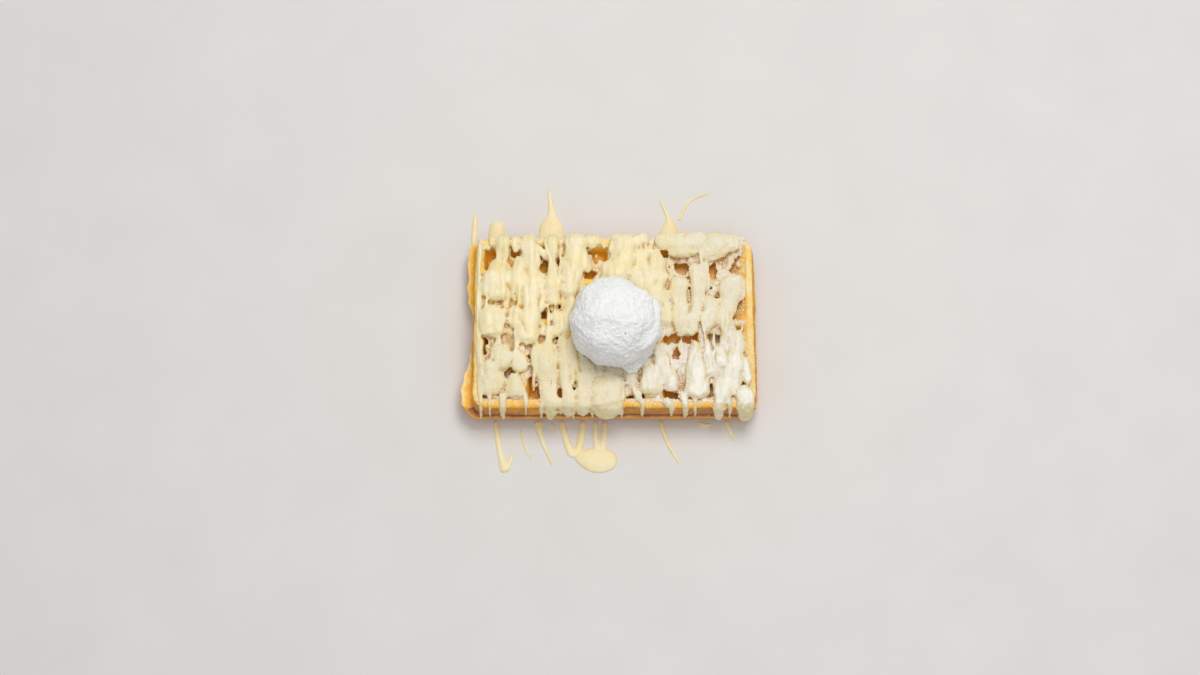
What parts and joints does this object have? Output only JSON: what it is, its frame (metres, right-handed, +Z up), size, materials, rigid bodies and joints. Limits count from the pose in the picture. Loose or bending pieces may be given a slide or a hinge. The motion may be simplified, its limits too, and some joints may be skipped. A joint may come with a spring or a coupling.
{
  "type": "waffle",
  "caption": "Rectangular baked waffle with a grid of square pockets on both faces, covered in thick ropes of white chocolate sauce, with a sugared scoop of vanilla ice cream in the middle.",
  "frame": {"origin": "the surface the waffle lies on, under the crossing of the ridges at the middle of its grid", "axes": "+X along the six pockets of the long side, to the viewer's right; +Y away from the front edge; +Z up"},
  "size_m": [0.1636, 0.1645, 0.0643],
  "materials": {
    "waffle": "golden baked crust, partly under pale cream sauce and icing sugar",
    "ice_cream_scoop": "matt white, dusted with icing sugar",
    "sauce": "smooth pale cream, softly glossy"
  },
  "bodies": {
    "root": {"waffle": "waffle", "ice_cream_scoop": "ice_cream_scoop", "sauce_run_back_left": "sauce", "sauce_loop_back": "sauce", "sauce_fan_back": "sauce", "sauce_fan_back_right": "sauce", "sauce_whisker_back_right": "sauce", "sauce_blob_back": "sauce", "sauce_hook_front": "sauce", "sauce_trickle_front": "sauce", "sauce_pool_front": "sauce", "sauce_trickle_front_right": "sauce", "sauce_trickle_front_corner": "sauce"}
  },
  "joints": []
}
